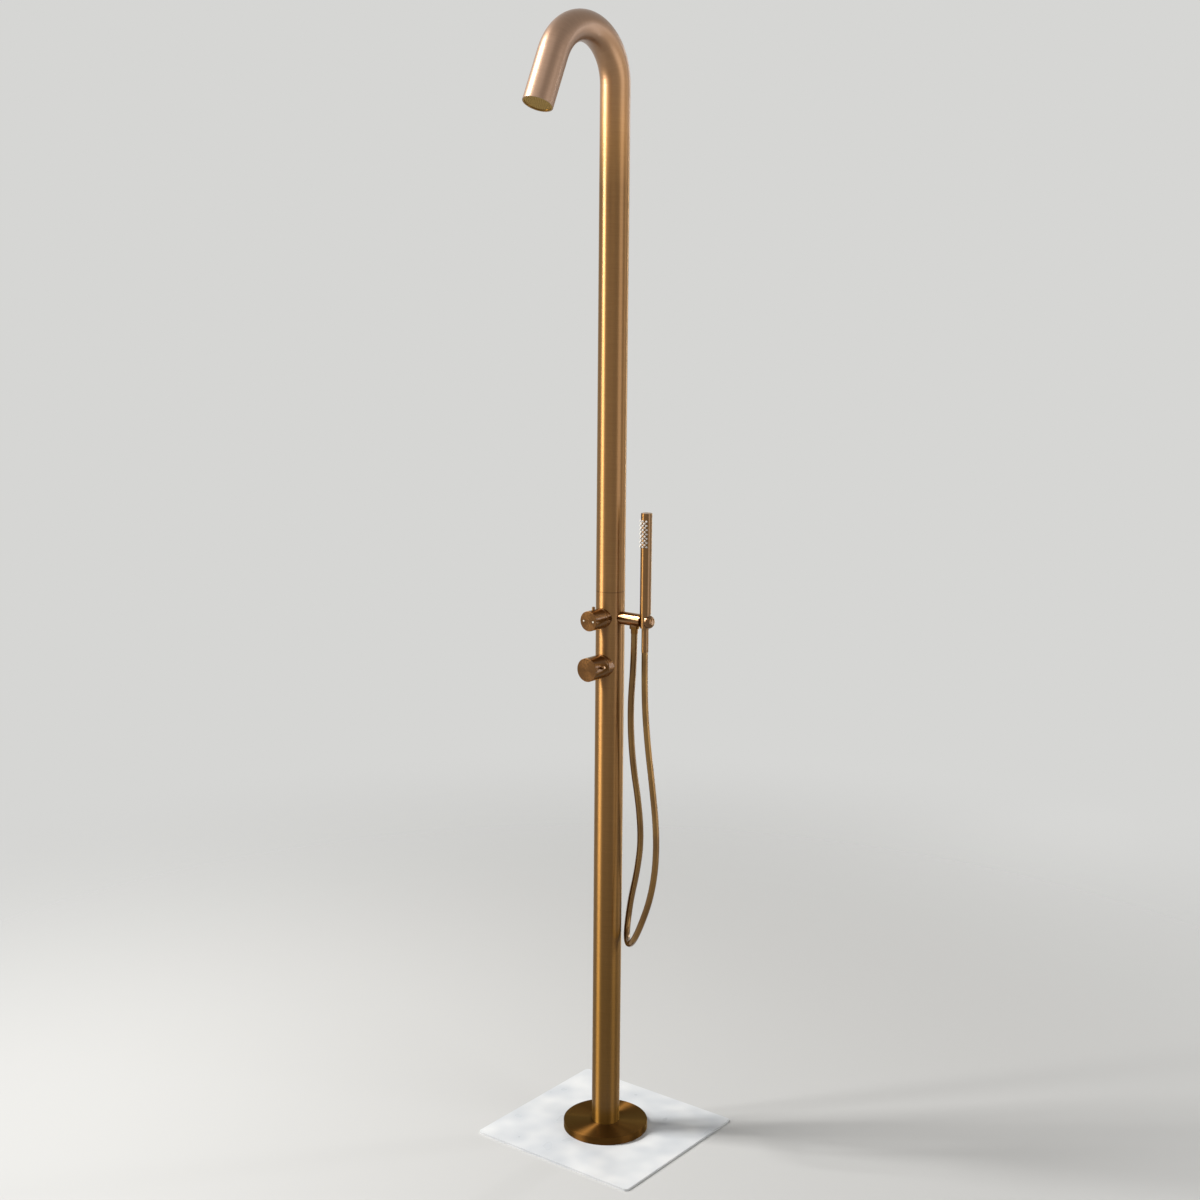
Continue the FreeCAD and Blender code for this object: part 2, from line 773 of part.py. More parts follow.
def make_spray_distributor():
    """Cup behind the spray face with a socket for the riser pipe."""
    back = tuple(-part for part in spout_direction())
    front = along(mouth_centre(), back, spray_depth())
    outer = 2 * (column_bore_radius - slip_fit)
    cup = rod(outer, front, back, distributor_depth + distributor_back)
    inlet = riser_diameter + 2 * distributor_inlet_wall
    cup = cup.fuse(rod(inlet, along(front, back, distributor_depth), back,
                       distributor_back + distributor_inlet_length)).removeSplitter()
    cup = cup.cut(rod(outer - 2 * spray_seal_width, along(front, back, -1), back, distributor_depth + 1))
    cup = cup.cut(rod(waterway_diameter, front, back, distributor_length() + 1))
    socket_floor = distributor_length() - riser_socket_depth
    return cup.cut(rod(riser_diameter + 2 * close_fit, along(front, back, socket_floor), back,
                       riser_socket_depth + 1))


# Outlet arm and cradle

def make_outlet_arm():
    """Side arm with a spigot into the diverter body and a socket underneath for the hose's nut."""
    arm = rod(arm_diameter, (0, 0, diverter_height), RIGHT, arm_end)
    arm = arm.fuse(upright(outlet_distance, 0, outlet_underside, diverter_height, outlet_pad_diameter))
    arm = arm.cut(upright(0, 0, diverter_height - arm_diameter, diverter_height + arm_diameter,
                          column_diameter + 2 * close_fit))
    arm = arm.fuse(rod(arm_spigot_diameter, (arm_spigot_reach, 0, diverter_height), RIGHT,
                       column_radius - arm_spigot_reach + 2)).removeSplitter()
    bore_end = outlet_distance + handset_bore_diameter / 2
    arm = arm.cut(rod(arm_bore_diameter, (0, 0, diverter_height), RIGHT, bore_end))
    arm = arm.cut(upright(outlet_distance, 0, outlet_underside - 1, diverter_height, handset_bore_diameter))
    arm = arm.cut(upright(outlet_distance, 0, outlet_underside - 1, outlet_underside + outlet_socket_depth,
                          outlet_thread_diameter + 2 * close_fit))
    stud_hole = cradle_stud_diameter + 2 * close_fit
    return arm.cut(rod(stud_hole, (arm_end - cradle_stud_length - end_gap, 0, diverter_height), RIGHT,
                       cradle_stud_length + 1))


def make_arm_seal():
    start = (arm_spigot_reach - arm_seal_thickness - end_gap / 2, 0, diverter_height)
    return ring(arm_spigot_diameter, arm_bore_diameter, start, RIGHT, arm_seal_thickness)


def handset_foot(growth):
    """The handset's tapered foot, or with a growth the seat that it stands in."""
    length = handset_shoulder - handset_base
    return Part.makeCone(handset_foot_diameter / 2 + growth, handset_foot_top_diameter / 2 + growth, length,
                         vec((handset_distance, -handset_forward, handset_base)), vec(UP))


def make_cradle():
    """Rounded end of the arm: a tapered seat for the handset's foot, with a slot that the hose goes in by."""
    body = rod(arm_diameter, (arm_end, 0, diverter_height), RIGHT, cradle_length)
    end = (arm_end + cradle_length, 0, diverter_height)
    body = body.makeFillet(cradle_end_rounding, circle_edges(body, end, RIGHT, arm_diameter / 2))
    stud = rod(cradle_stud_diameter, (arm_end - cradle_stud_length, 0, diverter_height), RIGHT,
               cradle_stud_length + 1)
    slot = hose_diameter + 2 * seat_gap
    passage = Part.makeBox(slot, arm_diameter, arm_diameter + 2,
                           vec((handset_distance - slot / 2, -handset_forward - arm_diameter,
                                outlet_underside - 1)))
    passage.rotate(vec((handset_distance, -handset_forward, 0)), vec(UP), -cradle_slot_turn)
    return body.fuse(stud).removeSplitter().cut([handset_foot(seat_gap), passage])


# Hose and what joins it

def make_hose_nut():
    """Collar under the arm with a threaded shank in the arm's socket."""
    nut = upright(outlet_distance, 0, hose_nut_base, hose_nut_top, hose_nut_diameter)
    nut = chamfer_circles(nut, knob_chamfer, (0, 0, hose_nut_base), UP, hose_nut_diameter / 2)
    nut = nut.fuse(upright(outlet_distance, 0, hose_nut_base + 1, ferrule_head_low() - end_gap,
                           outlet_thread_diameter)).removeSplitter()
    neck = ferrule_neck_diameter + 2 * slip_fit
    return nut.cut(upright(outlet_distance, 0, hose_nut_base - 1, ferrule_head_low(), neck))


def ferrule_head_low():
    return outlet_underside + outlet_socket_depth - hose_washer_thickness - ferrule_head_thickness


def make_hose_washer():
    low = ferrule_head_low() + ferrule_head_thickness
    outer = outlet_thread_diameter - 2 * slip_fit
    return ring(outer, handset_bore_diameter, (outlet_distance, 0, low), UP, hose_washer_thickness)


def make_hose_ferrule():
    """Flanged tail held by the nut, with the sleeve that the hose ends in."""
    head_low = ferrule_head_low()
    head_top = head_low + ferrule_head_thickness
    ferrule = upright(outlet_distance, 0, head_low, head_top, outlet_thread_diameter - 2 * slip_fit)
    ferrule = ferrule.fuse(upright(outlet_distance, 0, hose_start_height, head_top, ferrule_neck_diameter))
    ferrule = ferrule.fuse(upright(outlet_distance, 0, hose_start_height, hose_nut_base - end_gap,
                                   ferrule_diameter)).removeSplitter()
    return ferrule.cut(upright(outlet_distance, 0, hose_start_height - 1, head_top + 1,
                               handset_bore_diameter))


def hose_wire():
    """Straight runs joined by tangent arcs, each arc as large as its two runs allow."""
    points = [vec(point) for point in hose_route]
    edges = []
    radii = []
    start = points[0]
    for before, corner, after in zip(points, points[1:], points[2:]):
        arriving = corner - before
        leaving = after - corner
        reach = 0.45 * min(arriving.Length, leaving.Length)
        half_turn = arriving.getAngle(leaving) / 2
        radii.append(reach / math.tan(half_turn))
        arriving.normalize()
        leaving.normalize()
        arc_start = corner - arriving * reach
        arc_end = corner + leaving * reach
        centre_way = leaving - arriving
        centre_way.normalize()
        bulge = radii[-1] * (1 / math.cos(half_turn) - 1)
        edges.append(Part.LineSegment(start, arc_start).toShape())
        edges.append(Part.Arc(arc_start, corner + centre_way * bulge, arc_end).toShape())
        start = arc_end
    edges.append(Part.LineSegment(start, points[-1]).toShape())
    print("hose bend radii:", " ".join("%.0f" % radius for radius in radii))
    return Part.Wire(edges)


def make_shower_hose():
    path = hose_wire()
    points = [vec(point) for point in hose_route]
    direction = points[1] - points[0]
    hose = sweep_circle(path, hose_diameter, points[0], direction)
    bore = hose_diameter - 2 * hose_wall
    hose = hose.cut(sweep_circle(path, bore, points[0], direction))
    section = math.pi * (hose_diameter ** 2 - bore ** 2) / 4
    print("hose length %.1f mm, volume over section times length %.4f"
          % (path.Length, hose.Volume / (section * path.Length)))
    return hose


def at_handset(low, high, diameter):
    """A vertical bar on the handset's axis."""
    return upright(handset_distance, -handset_forward, low, high, diameter)


def make_swivel_insert():
    """Joint at the hose's end: a ring that the hose meets, a neck and a collar trapped in the connector."""
    ring_top = hose_end_height + swivel_ring_thickness
    collar_low = ring_top + swivel_neck_length
    collar_high = collar_low + swivel_collar_height
    insert = at_handset(hose_end_height, ring_top, swivel_ring_diameter)
    insert = insert.fuse(at_handset(hose_end_height, collar_high, swivel_neck_diameter))
    insert = insert.fuse(at_handset(collar_low, collar_high, swivel_collar_diameter)).removeSplitter()
    return insert.cut(at_handset(hose_end_height - 1, collar_high + 1, handset_bore_diameter))


def make_hose_connector():
    """Long slim nut that hangs from the handset and turns on the swivel."""
    collar_low = hose_end_height + swivel_ring_thickness + swivel_neck_length - end_gap
    collar_high = collar_low + swivel_collar_height + 2 * end_gap
    thread_floor = handset_base - handset_spigot_length - hose_washer_thickness
    connector = at_handset(connector_base, handset_base, connector_diameter)
    connector = chamfer_circles(connector, knob_chamfer, (0, 0, connector_base), UP, connector_diameter / 2)
    connector = connector.cut(at_handset(connector_base - 1, collar_low + 1,
                                         swivel_neck_diameter + 2 * running_fit))
    connector = connector.cut(at_handset(collar_low, collar_high, swivel_collar_diameter + 2 * running_fit))
    connector = connector.cut(at_handset(collar_low, thread_floor + 1, handset_bore_diameter))
    return connector.cut(at_handset(thread_floor, handset_base + 1, handset_spigot_diameter + 2 * close_fit))


def make_connector_washer():
    low = handset_base - handset_spigot_length - hose_washer_thickness
    return ring(handset_spigot_diameter, handset_bore_diameter, (handset_distance, -handset_forward, low), UP,
                hose_washer_thickness)


# Handset

def nozzle_places():
    """Angle from the front and height of each nozzle; every second column is one nozzle shorter."""
    places = []
    first = handset_top - nozzle_start
    for column in range(nozzle_columns):
        angle = (column - (nozzle_columns - 1) / 2) * nozzle_column_angle
        between = column % 2
        for row in range(nozzle_rows - between):
            places.append((angle, first - (row + between / 2) * nozzle_pitch))
    return places


def nozzle_axis(angle, height):
    turn = math.radians(angle)
    return (handset_distance, -handset_forward, height), (math.sin(turn), -math.cos(turn), 0.0)


def make_handset_tube():
    start = (handset_distance, -handset_forward, handset_shoulder)
    tube = ring(handset_diameter, 2 * handset_bore_radius, start, UP, handset_tube_top - handset_shoulder)
    drills = []
    for angle, height in nozzle_places():
        start, outward = nozzle_axis(angle, height)
        drills.append(rod(nozzle_base_diameter + 2 * slip_fit, along(start, outward, handset_bore_radius / 2),
                          outward, handset_diameter / 2))
    return tube.cut(Part.makeCompound(drills))


def handset_plug_diameter():
    return 2 * (handset_bore_radius - slip_fit)


def make_handset_cap():
    cap = at_handset(handset_tube_top, handset_top, handset_diameter)
    cap = chamfer_circles(cap, handset_cap_chamfer, (0, 0, handset_top), UP, handset_diameter / 2)
    plug_low = handset_tube_top - handset_cap_plug
    plug = at_handset(plug_low, handset_tube_top + handset_cap_thickness / 2, handset_plug_diameter())
    return cap.fuse(plug).removeSplitter()


def make_handset_inlet():
    """Tapered foot with a plug for the handset's tube and the male thread for the connector."""
    low = handset_base - handset_spigot_length
    high = handset_shoulder + handset_inlet_length
    foot = handset_foot(0.0).fuse([at_handset(handset_shoulder - 1, high, handset_plug_diameter()),
                                   at_handset(low, handset_base + 1, handset_spigot_diameter)])
    return foot.removeSplitter().cut(at_handset(low - 1, high + 1, handset_bore_diameter))


def make_handset_seal():
    low = handset_shoulder + handset_inlet_length
    bore = core_diameter - 2 * core_wall
    return ring(handset_plug_diameter(), bore, (handset_distance, -handset_forward, low), UP,
                handset_seal_thickness)


def strip_half_angle():
    return (nozzle_columns - 1) / 2 * nozzle_column_angle + nozzle_strip_overhang


def sector(radius, half_angle, low, high):
    """A slice of a vertical cylinder round the handset's axis that faces the front."""
    start = -90.0 - half_angle
    axis = (handset_distance, -handset_forward, low)
    wedge = Part.makeCylinder(radius, high - low, vec(axis), vec(UP), 2 * half_angle)
    wedge.rotate(vec(axis), vec(UP), start)
    return wedge


def strip_heights():
    high = handset_top - nozzle_start + nozzle_strip_margin
    low = handset_top - nozzle_start - (nozzle_rows - 1) * nozzle_pitch - nozzle_strip_margin
    return low, high


def make_handset_core():
    """Inner water tube with a bottom flange and a window behind the nozzles."""
    flange_low = handset_shoulder + handset_inlet_length + handset_seal_thickness
    high = handset_tube_top - handset_cap_plug - end_gap
    core = at_handset(flange_low, high, core_diameter)
    core = core.fuse(at_handset(flange_low, flange_low + core_flange_thickness,
                                handset_plug_diameter())).removeSplitter()
    core = core.cut(at_handset(flange_low - 1, high - core_flange_thickness, core_diameter - 2 * core_wall))
    low, top = strip_heights()
    window_angle = strip_half_angle() - nozzle_strip_overhang
    return core.cut(sector(core_diameter, window_angle, low + nozzle_strip_margin / 2,
                           top - nozzle_strip_margin / 2))


def make_nozzle_strip():
    """Silicone strip bent round the core, with a nozzle through each hole of the tube."""
    low, high = strip_heights()
    inner = core_diameter / 2 + close_fit
    outer = inner + nozzle_strip_thickness
    strip = sector(outer, strip_half_angle(), low, high)
    strip = strip.cut(at_handset(low - 1, high + 1, 2 * inner))
    cones = []
    for angle, height in nozzle_places():
        start, outward = nozzle_axis(angle, height)
        root = outer - nozzle_strip_thickness / 2
        tip = handset_diameter / 2 + nozzle_proud
        cones.append(Part.makeCone(nozzle_base_diameter / 2, nozzle_tip_diameter / 2, tip - root,
                                   vec(along(start, outward, root)), vec(outward)))
    return strip.fuse(cones).removeSplitter()


def control_pieces(name, height, knob, length, cartridge, setback, angle, proud):
    """Boss, cartridge and knob of one control."""
    return {
        name + "_boss": make_boss(height, knob),
        name + "_cartridge": make_cartridge(height, cartridge),
        name + "_cartridge_nut": make_cartridge_nut(height, cartridge),
        name + "_cartridge_seal": make_cartridge_seal(height, cartridge),
        name + "_spindle": make_spindle(height),
        name + "_knob": make_knob(height, knob, length, setback, angle),
        name + "_lever": make_lever(height, knob, length, setback, angle, proud),
        name + "_grub_screw": make_grub_screw(height),
    }


def all_pieces():
    cold = inlet_places()["cold"]
    hot = inlet_places()["hot"]
    pieces = {
        "ground_plate": make_ground_plate(),
        "base_gasket": make_base_gasket(),
        "foot_flange": make_foot_flange(),
        "foot_washers": make_foot_washers(),
        "foot_bolts": make_foot_bolts(),
        "flange_cover": make_flange_cover(),
        "cover_seal": make_cover_seal(),
        "inlet_block": make_inlet_block(),
        "cold_check_valve": make_check_valve(*cold),
        "hot_check_valve": make_check_valve(*hot),
        "cold_supply_pipe": make_supply_pipe(*cold),
        "hot_supply_pipe": make_supply_pipe(*hot),
        "pipe_spacers": make_pipe_spacers(),
        "column_tube": make_column_tube(),
        "gooseneck_tube": make_gooseneck_tube(),
        "joint_sleeve": make_joint_sleeve(),
        "joint_screws": make_joint_screws(),
        "mixer_body": make_mixer_body(),
        "diverter_body": make_diverter_body(),
        "link_pipe": make_link_pipe(),
        "pipe_seals": make_pipe_seals(),
        "riser_pipe": make_riser_pipe(),
        "riser_spacers": make_riser_spacers(),
        "spray_distributor": make_spray_distributor(),
        "spray_seal": make_spray_seal(),
        "spray_face": make_spray_face(),
        "spray_ring": make_spray_ring(),
        "outlet_arm": make_outlet_arm(),
        "arm_seal": make_arm_seal(),
        "handset_cradle": make_cradle(),
        "hose_nut": make_hose_nut(),
        "hose_washer": make_hose_washer(),
        "hose_ferrule": make_hose_ferrule(),
        "shower_hose": make_shower_hose(),
        "swivel_insert": make_swivel_insert(),
        "hose_connector": make_hose_connector(),
        "connector_washer": make_connector_washer(),
        "handset_tube": make_handset_tube(),
        "handset_cap": make_handset_cap(),
        "handset_inlet": make_handset_inlet(),
        "handset_seal": make_handset_seal(),
        "handset_core": make_handset_core(),
        "nozzle_strip": make_nozzle_strip(),
    }
    pieces.update(control_pieces("mixer", mixer_height, mixer_knob_diameter, mixer_knob_length,
                                 mixer_cartridge_diameter, mixer_lever_setback, mixer_lever_angle,
                                 mixer_lever_proud))
    pieces.update(control_pieces("diverter", diverter_height, diverter_knob_diameter, diverter_knob_length,
                                 diverter_cartridge_diameter, diverter_lever_setback,
                                 diverter_lever_angle, diverter_lever_proud))
    return pieces


os.makedirs("parts", exist_ok=True)
for node, shape in all_pieces().items():
    if isinstance(shape, list):
        shape = Part.makeCompound(shape)
    shape.exportStep("parts/" + node + ".step")
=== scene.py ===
import json
import math

import bmesh
import bpy
from mathutils import Matrix, Vector


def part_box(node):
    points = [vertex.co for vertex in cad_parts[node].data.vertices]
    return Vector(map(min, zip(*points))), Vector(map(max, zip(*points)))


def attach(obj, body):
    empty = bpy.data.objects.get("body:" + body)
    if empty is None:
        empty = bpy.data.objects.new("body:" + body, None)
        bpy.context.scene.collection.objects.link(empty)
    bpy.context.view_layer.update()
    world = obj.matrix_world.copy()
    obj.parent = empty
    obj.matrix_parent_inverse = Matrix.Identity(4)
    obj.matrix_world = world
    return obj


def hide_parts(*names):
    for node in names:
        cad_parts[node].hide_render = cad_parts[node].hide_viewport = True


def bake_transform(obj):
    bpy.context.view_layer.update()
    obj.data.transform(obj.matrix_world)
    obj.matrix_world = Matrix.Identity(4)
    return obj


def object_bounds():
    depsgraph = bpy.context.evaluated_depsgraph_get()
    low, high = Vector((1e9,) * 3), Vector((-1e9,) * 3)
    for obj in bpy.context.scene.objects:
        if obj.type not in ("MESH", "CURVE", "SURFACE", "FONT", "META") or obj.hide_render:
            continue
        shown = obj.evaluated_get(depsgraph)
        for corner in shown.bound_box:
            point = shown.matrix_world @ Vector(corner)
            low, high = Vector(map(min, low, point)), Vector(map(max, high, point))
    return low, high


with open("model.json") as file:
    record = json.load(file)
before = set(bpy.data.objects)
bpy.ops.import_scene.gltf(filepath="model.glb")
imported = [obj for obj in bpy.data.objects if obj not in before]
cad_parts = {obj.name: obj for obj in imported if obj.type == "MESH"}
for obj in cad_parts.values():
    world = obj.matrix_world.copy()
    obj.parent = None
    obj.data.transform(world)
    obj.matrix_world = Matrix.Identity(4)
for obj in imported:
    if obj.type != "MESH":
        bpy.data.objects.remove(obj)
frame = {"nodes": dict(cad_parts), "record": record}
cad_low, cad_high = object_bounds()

# The shower in metres, in the frame of its solids: the column stands on the Z axis, the controls and the
# spout face -Y, and the arm with the handset points along +X.

MM = 0.001
rightward = Vector((1.0, 0.0, 0.0))
upward = Vector((0.0, 0.0, 1.0))
nodes = frame["nodes"]


def middle(node):
    """Centre of a node's box."""
    low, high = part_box(node)
    return (low + high) / 2


# Places read from the solids

column_low, column_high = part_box("column_tube")
column_radius = (column_high.x - column_low.x) / 2
mixer_centre = middle("mixer_boss")
diverter_centre = middle("diverter_boss")
diverter_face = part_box("diverter_knob")[0].y
handset_low, handset_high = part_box("handset_tube")
handset_centre = (handset_low + handset_high) / 2
handset_radius = (handset_high.x - handset_low.x) / 2
handset_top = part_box("handset_cap")[1].z
hose_nut_centre = middle("hose_nut")

# The gooseneck's centre line: a bend about an axis along X, then a straight spout

bend_radius = 102 * MM
bend_angle = math.radians(155)
bend_height = cad_high.z - column_radius - bend_radius

# The hose, from the fitting under the arm down round its loop and up to the handset

hose_diameter = 13.5 * MM
hose_sides = 20
braid_turns_per_metre = 350.0
hose_route = [
    (0.062, 0.000, 1.1126),
    (0.062, 0.000, 1.054),
    (0.054, 0.000, 0.954),
    (0.054, 0.008, 0.847),
    (0.060, 0.027, 0.738),
    (0.060, 0.036, 0.656),
    (0.047, 0.040, 0.583),
    (0.032, 0.042, 0.527),
    (0.024, 0.042, 0.476),
    (0.037, 0.019, 0.445),
    (0.065, -0.012, 0.441),
    (0.092, -0.030, 0.463),
    (0.112, -0.031, 0.505),
    (0.126, -0.020, 0.560),
    (0.131, -0.009, 0.627),
    (0.127, -0.003, 0.706),
    (0.116, -0.004, 0.796),
    (0.103, -0.007, 0.895),
    (0.090, -0.001, 0.989),
    (0.090, -0.001, 1.0770),
]

# Nozzles of the handset

nozzle_columns = 5
nozzle_rows = 7
nozzle_pitch = 8.7 * MM
nozzle_step = math.radians(19)
nozzle_start = 15.5 * MM
nozzle_strip_margin = 8 * MM
nozzle_strip_angle = math.radians(50)
nozzle_strip_steps = 20
nozzle_strip_inner = 8.75 * MM
nozzle_strip_outer = 9.95 * MM
nozzle_root = 9.35 * MM
nozzle_base = 2.1 * MM
nozzle_tip = 1.8 * MM
nozzle_proud = 2.8 * MM
nozzle_shoulder = 0.4 * MM
nozzle_edge = 0.1 * MM
nozzle_hole = 0.45 * MM
nozzle_hole_depth = 1.2 * MM
nozzle_sides = 14


# Node trees

class Wire:
    """One output of a node; sums and products of wires add Math nodes."""

    def __init__(self, tree, socket):
        self.tree = tree
        self.socket = socket

    def __add__(self, other):
        return self.tree.reckon("ADD", self, other)

    def __sub__(self, other):
        return self.tree.reckon("SUBTRACT", self, other)

    def __rsub__(self, other):
        return self.tree.reckon("SUBTRACT", other, self)

    def __mul__(self, other):
        return self.tree.reckon("MULTIPLY", self, other)

    def __truediv__(self, other):
        return self.tree.reckon("DIVIDE", self, other)

    __radd__ = __add__
    __rmul__ = __mul__


class Tree:
    """A node tree that is built by naming each node's settings and inputs."""

    def __init__(self, tree):
        self.tree = tree

    def node(self, kind, settings=None, inputs=None, output=0):
        made = self.tree.nodes.new(kind)
        for name, value in (settings or {}).items():
            setattr(made, name, value)
        for name, value in (inputs or {}).items():
            self.feed(made.inputs[name], value)
        return Wire(self, made.outputs[output])

    def feed(self, socket, value):
        if isinstance(value, Wire):
            self.tree.links.new(value.socket, socket)
        else:
            socket.default_value = value

    def split(self, vector):
        """The three numbers of a vector."""
        parts = self.node("ShaderNodeSeparateXYZ", inputs={0: vector})
        return [Wire(self, socket) for socket in parts.socket.node.outputs]

    def join(self, x=0.0, y=0.0, z=0.0):
        return self.node("ShaderNodeCombineXYZ", inputs={0: x, 1: y, 2: z})

    def reckon(self, operation, first, second=0.0):
        """A Math node, named by its operation."""
        return self.node("ShaderNodeMath", {"operation": operation}, {0: first, 1: second})


def tone(red, green, blue):
    """A colour given in the usual 0 to 255 steps, as linear light."""
    parts = []
    for step in (red, green, blue):
        share = step / 255
        parts.append(share / 12.92 if share <= 0.04045 else ((share + 0.055) / 1.055) ** 2.4)
    return (*parts, 1.0)


class Finish(Tree):
    """A material: what is the same all over is set on the shader, the rest comes from nodes."""

    def __init__(self, name, constants):
        self.material = bpy.data.materials.new(name)
        self.material.use_nodes = True
        super().__init__(self.material.node_tree)
        self.shader = self.tree.nodes["Principled BSDF"]
        self.second = None
        for socket, value in constants.items():
            self.shader.inputs[socket].default_value = value
        self.place = self.node("ShaderNodeTexCoord", output="Object")
        self.x, self.y, self.z = self.split(self.place)

    def cross(self, factor, constants):
        """Goes over to a second shader, which drive then feeds too."""
        second = self.tree.nodes.new("ShaderNodeBsdfPrincipled")
        for socket, value in constants.items():
            second.inputs[socket].default_value = value
        both = self.node("ShaderNodeMixShader", inputs={0: factor, 1: Wire(self, self.shader.outputs[0]),
                                                        2: Wire(self, second.outputs[0])})
        self.feed(self.tree.nodes["Material Output"].inputs["Surface"], both)
        self.second = second

    def drive(self, socket, wire, second_wire=None):
        self.feed(self.shader.inputs[socket], wire)
        if self.second:
            self.feed(self.second.inputs[socket], second_wire or wire)

    def grain(self, where, scale=1.0, detail=2.0):
        """Noise about one half."""
        return self.node("ShaderNodeTexNoise", inputs={"Vector": where, "Scale": scale, "Detail": detail})

    def blend(self, factor, first, second):
        """Mixes two colours."""
        return self.node("ShaderNodeMix", {"data_type": "RGBA"}, {0: factor, 6: first, 7: second}, output=2)

    def steps(self, value, low, high):
        """Carries a value from low..high to 0..1, held at the ends."""
        return self.node("ShaderNodeMapRange", inputs={0: value, 1: low, 2: high, 3: 0.0, 4: 1.0})

    def shade(self, mask, tones):
        """Goes from the darker of two tones to the lighter."""
        light, dark = tones
        return self.blend(mask, dark, light)

    def relief(self, height, depth):
        self.drive("Normal", self.node("ShaderNodeBump", inputs={"Distance": depth, "Height": height}))

    def distance(self, first, second, centre):
        """Distance of two coordinates from a centre."""
        u = first - centre[0]
        v = second - centre[1]
        return self.reckon("SQRT", u * u + v * v)


# Finishes of the bronze

upright_strokes = {"Anisotropic": 1.0, "Anisotropic Rotation": 0.25}
bronze_edge = {"Specular Tint": (1.0, 0.85, 0.6, 1.0)}
plain_edge = {"Specular Tint": (1.0, 1.0, 1.0, 1.0)}

# Each pair is a lighter and a darker tone.
# Painted reflection: the foot's darker, greener tones stand in for a dark green ground mirrored low on the
# column.
foot_painted_reflection_tones = (tone(134, 96, 40), tone(114, 80, 31))
bronze_tones = (tone(168, 124, 74), tone(146, 105, 59))
# Painted reflection: the spout's pinker, greyer tones stand in for a pale sky mirrored on it.
spout_painted_sky_tones = (tone(152, 122, 99), tone(135, 107, 87))
trim_tones = (tone(136, 96, 48), tone(114, 79, 37))
# The knobs' darker brown is partly their own polished brown and partly painted shade, standing in for dark
# surroundings mirrored on their faces.
knob_brown_and_painted_shade_tones = (tone(118, 80, 42), tone(96, 64, 31))
arm_tones = (tone(136, 98, 58), tone(114, 80, 45))
# Painted shade: the rounded end of the cradle is made darker than the arm it ends.
ball_painted_shade_tones = (tone(112, 77, 42), tone(90, 61, 32))
# Painted shade: the cover is made dark, standing in for dark surroundings mirrored on its top.
cover_painted_shade_tones = (tone(92, 61, 26), tone(74, 49, 20))
spray_tones = (tone(162, 134, 84), tone(126, 102, 62))
hose_tones = (tone(134, 100, 50), tone(112, 80, 38))
steel_tones = (tone(176, 176, 174), tone(150, 150, 148))
brass_tones = (tone(206, 176, 112), tone(176, 144, 84))
# Painted shade: the tone of a fine dark line round the tubes where the column meets the gooseneck.
seam_painted_shade_tone = tone(122, 88, 50)

# Where the painted tones give way: the column's painted ground reflection by height, the gooseneck's
# painted sky reflection by the distance from the middle of its bend and its strokes by height, and the
# cradle's painted shade by the distance from the column's axis.
painted_reflection_heights = (0.3, 1.15)
painted_sky_span = (-0.25, 0.08)
strokes_to_bend = (2.0, 2.13)
painted_shade_span = (78 * MM, 88 * MM)

stroke_pitch = 0.5 * MM
stroke_length = 30 * MM
stroke_depth = 0.004 * MM
unevenness = 0.08
clouds_per_metre = 3.0
hose_clouds_per_metre = 14.0
bend_roughness = 0.42
# Widths of the line of painted shade at the seam.
seam_shade_half_width = 0.3 * MM
seam_shade_fade = 1.5 * MM
ring_pitch = 0.5 * MM
ring_slope = 0.35


def lacquer(weight, roughness):
    """A clear lacquer over the metal."""
    return {"Coat Weight": weight, "Coat Roughness": roughness}


bend_lacquer = lacquer(0.5, 0.25)


def brushed(name, across, along, tones, roughness, pitch=stroke_pitch, depth=stroke_depth, constants=None,
            onward=None, bend=None, rings=False, seam_shade=None):
    """Metal brushed round an axis; across and along give the distance from the axis and along it.

    onward is a second pair of tones and the distances along the axis between which the colour goes over to
    them, which the pieces use for painted reflection and painted shade; bend is the heights between which
    its strokes lose their one direction. A seam height, given last, draws a fine dark line of painted shade
    round the piece there. With rings the relief is that of turned grooves in place of strokes.
    """
    finish = Finish(name, {"Metallic": 1.0, **bronze_edge, **(constants or {})})
    if bend:
        finish.cross(finish.steps(finish.z, *bend), {"Metallic": 1.0, **bend_lacquer})
    out = across(finish)
    run = along(finish)
    drift = [place / stroke_length for place in (finish.x, finish.y, finish.z)]
    fine = finish.grain(finish.join(out / pitch + drift[0], run / pitch + drift[1], drift[2]))
    wide = 5 * pitch
    streak = finish.grain(finish.join(out / wide + drift[0], run / wide + drift[1], drift[2]))
    cloud = finish.grain(finish.place, scale=clouds_per_metre, detail=3.0)
    mask = finish.steps(fine * 0.35 + streak * 0.25 + cloud * 0.4, 0.3, 0.7)
    colour = finish.shade(mask, tones)
    # Goes over along the axis to the second tones; on the column, the gooseneck and the cradle one of the
    # two pairs is painted: ground reflection on the column, sky reflection on the gooseneck, shade on the
    # cradle.
    if onward:
        later_tones, (low, high) = onward
        colour = finish.blend(finish.steps(run, low, high), colour, finish.shade(mask, later_tones))
    # Painted shade: the colour darkens within a little of the seam height.
    if seam_shade:
        clear_of_seam_shade = finish.steps(finish.reckon("ABSOLUTE", finish.z - seam_shade), seam_shade_half_width, seam_shade_fade)
        colour = finish.blend(clear_of_seam_shade, seam_painted_shade_tone, colour)
    finish.drive("Base Color", colour)
    uneven = (fine - 0.5) * unevenness + (cloud - 0.5) * unevenness
    finish.drive("Roughness", roughness + uneven, bend_roughness + uneven)
    if rings:
        finish.relief(finish.reckon("PINGPONG", out, ring_pitch / 2), ring_slope)
    else:
        finish.relief(fine + streak * 0.3, depth)
    return finish.material


